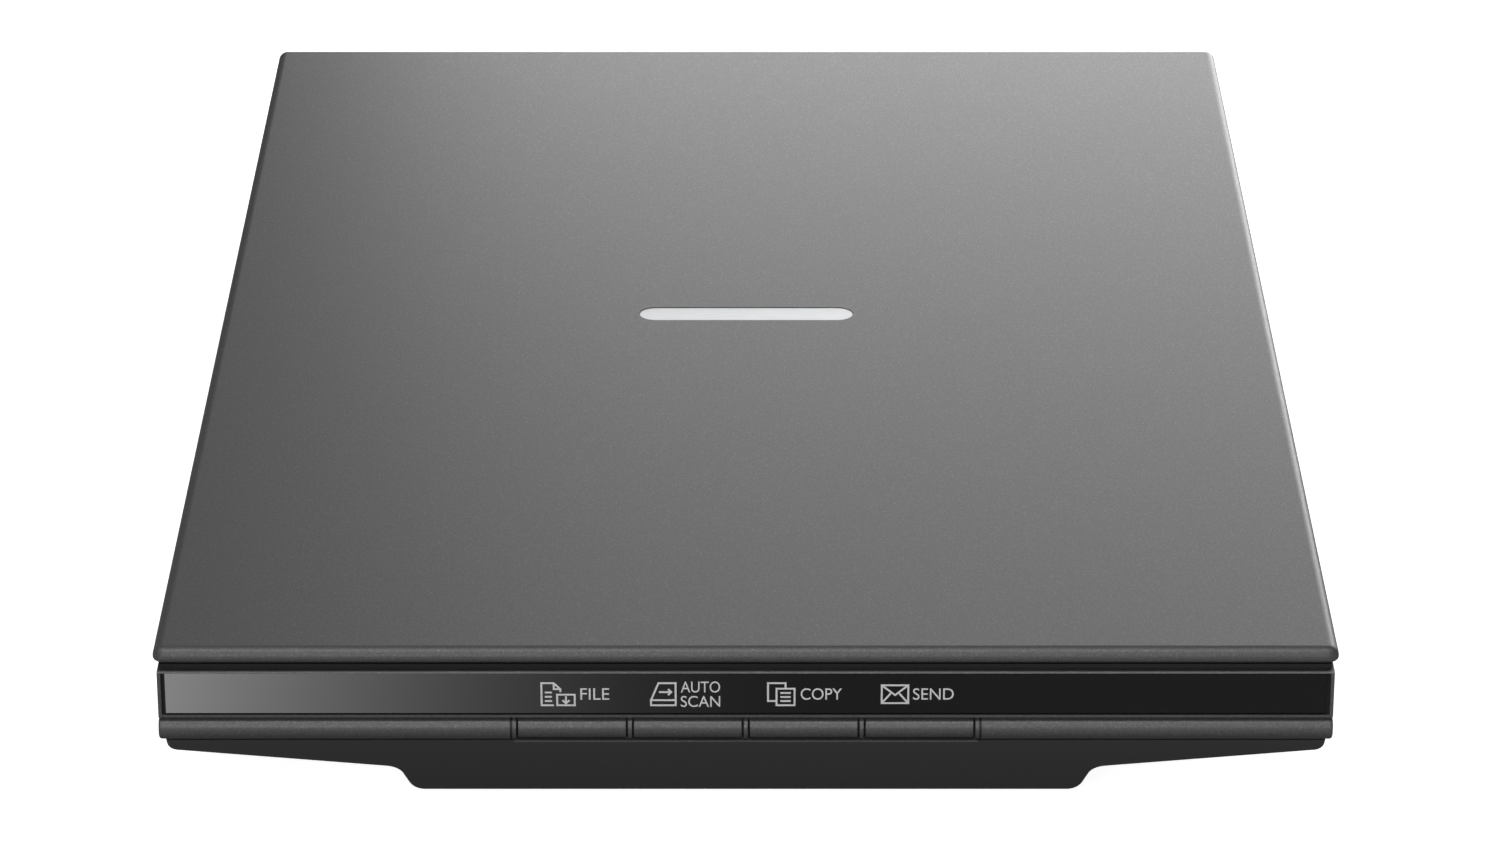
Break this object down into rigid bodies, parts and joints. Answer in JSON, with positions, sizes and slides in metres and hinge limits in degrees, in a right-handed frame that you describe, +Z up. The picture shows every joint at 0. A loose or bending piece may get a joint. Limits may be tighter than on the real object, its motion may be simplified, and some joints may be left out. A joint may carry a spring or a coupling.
{
  "type": "flatbed scanner",
  "caption": "Slim flatbed scanner with a hinged lid, a glass bed, front push buttons and a gear-driven contact image sensor carriage.",
  "frame": {"origin": "on the table under the middle of the closed scanner", "axes": "+X to the right seen from the front, +Y to the rear, +Z up"},
  "size_m": [0.25, 0.367, 0.042],
  "materials": {
    "lid_plastic": "dark metallic charcoal, fine sparkle, satin",
    "body_plastic": "near-black moulded plastic, fine texture",
    "base_plastic": "dark grey moulded plastic, fine spark-eroded texture",
    "trim_plastic": "dark metallic charcoal, satin",
    "button_plastic": "dark metallic charcoal, satin",
    "panel_gloss": "piano black, polished",
    "badge_metal": "brushed silver",
    "platen": "clear float glass, faint green edge",
    "tape": "black double-sided tape",
    "white_strip": "matt white reference",
    "white_sheet": "matt white film",
    "foam": "soft closed-cell foam",
    "panel_plastic": "grey moulded plastic",
    "rubber": "soft black rubber",
    "steel": "ground and polished steel",
    "screw_steel": "zinc-plated steel",
    "acetal": "natural acetal, waxy",
    "brass": "turned brass",
    "motor_can": "plated steel can",
    "circuit_board": "green solder mask",
    "chip": "black moulding compound",
    "switch": "black switch housings",
    "socket_steel": "tinned steel shell",
    "ribbon": "white flat cable",
    "sensor_plastic": "black moulded housing",
    "lens": "rod-lens array",
    "light_guide": "clear acrylic light guide",
    "cover_glass": "thin clear glass"
  },
  "bodies": {
    "base": {"base_tray": "base_plastic", "top_frame": "body_plastic", "front_trim": "trim_plastic", "gloss_panel": "panel_gloss", "strip_gasket": "tape", "platen_glass": "platen", "glass_tape": "tape", "calibration_strip": "white_strip", "guide_shaft": "steel", "drive_rack": "acetal", "button_board": "circuit_board", "button_switches": "switch", "main_board": "circuit_board", "board_chips": "chip", "cable_socket": "socket_steel", "board_screws": "screw_steel", "housing_screws": "screw_steel", "rubber_feet": "rubber", "ribbon_cable": "ribbon"},
    "hinge_slider": {"hinge_posts": "body_plastic"},
    "lid": {"lid_cover": "lid_plastic", "lid_badge": "badge_metal", "lid_inner_panel": "panel_plastic", "pad_foam": "foam", "pad_sheet": "white_sheet", "lid_bumpers": "rubber", "lid_hinge_brackets": "body_plastic", "hinge_pins": "steel"},
    "sensor_carriage": {"carriage": "body_plastic", "shaft_bush": "acetal", "drive_motor": "motor_can", "motor_screws": "screw_steel", "gear_axles": "steel", "sensor_springs": "steel"},
    "floating_sensor": {"sensor_housing": "sensor_plastic", "sensor_cover_glass": "cover_glass", "sensor_lens_rod": "lens", "sensor_light_guide": "light_guide", "sensor_board": "circuit_board", "sensor_glide_pads": "acetal"},
    "motor_rotor": {"motor_pinion": "brass"},
    "reduction_gear": {"double_gear": "acetal"},
    "walking_gear": {"rack_gear": "acetal"},
    "file_button": {"button_file": "button_plastic"},
    "scan_button": {"button_scan": "button_plastic"},
    "copy_button": {"button_copy": "button_plastic"},
    "send_button": {"button_send": "button_plastic"}
  },
  "joints": [
    {"name": "hinge_raise", "type": "slide", "parent": "base", "child": "hinge_slider", "axis": [0, 0, 1], "range_m": [0, 0.008]},
    {"name": "lid_open", "type": "hinge", "parent": "hinge_slider", "child": "lid", "pos_m": [0, 0.178, 0.0355], "axis": [-1, 0, 0], "range_deg": [0, 90]},
    {"name": "carriage_slide", "type": "slide", "parent": "base", "child": "sensor_carriage", "axis": [0, 1, 0], "range_m": [0, 0.297], "deforming": ["ribbon_cable"]},
    {"name": "sensor_float", "type": "slide", "parent": "sensor_carriage", "child": "floating_sensor", "axis": [0, 0, 1], "range_m": [-0.0008, 0], "stiffness_N_per_m": 500, "springref_m": 0.004, "deforming": ["sensor_springs"]},
    {"name": "rack_gear_spin", "type": "hinge", "parent": "sensor_carriage", "child": "walking_gear", "pos_m": [-0.0112, -0.132, 0.0074], "axis": [0, 0, 1], "continuous": true},
    {"name": "double_gear_spin", "type": "hinge", "parent": "sensor_carriage", "child": "reduction_gear", "pos_m": [0.004, -0.132, 0.009], "axis": [0, 0, 1], "continuous": true},
    {"name": "motor_spin", "type": "hinge", "parent": "sensor_carriage", "child": "motor_rotor", "pos_m": [0.018, -0.132, 0.011], "axis": [0, 0, 1], "continuous": true},
    {"name": "file_press", "type": "slide", "parent": "base", "child": "file_button", "axis": [0, 1, 0], "range_m": [0, 0.0008], "stiffness_N_per_m": 1500, "springref_m": -0.0004},
    {"name": "scan_press", "type": "slide", "parent": "base", "child": "scan_button", "axis": [0, 1, 0], "range_m": [0, 0.0008], "stiffness_N_per_m": 1500, "springref_m": -0.0004},
    {"name": "copy_press", "type": "slide", "parent": "base", "child": "copy_button", "axis": [0, 1, 0], "range_m": [0, 0.0008], "stiffness_N_per_m": 1500, "springref_m": -0.0004},
    {"name": "send_press", "type": "slide", "parent": "base", "child": "send_button", "axis": [0, 1, 0], "range_m": [0, 0.0008], "stiffness_N_per_m": 1500, "springref_m": -0.0004}
  ],
  "couplings": [
    {"joint": "rack_gear_spin", "follows": "carriage_slide", "rad_per_m": 104.17},
    {"joint": "double_gear_spin", "follows": "carriage_slide", "rad_per_m": -178.57},
    {"joint": "motor_spin", "follows": "carriage_slide", "rad_per_m": 654.76}
  ]
}
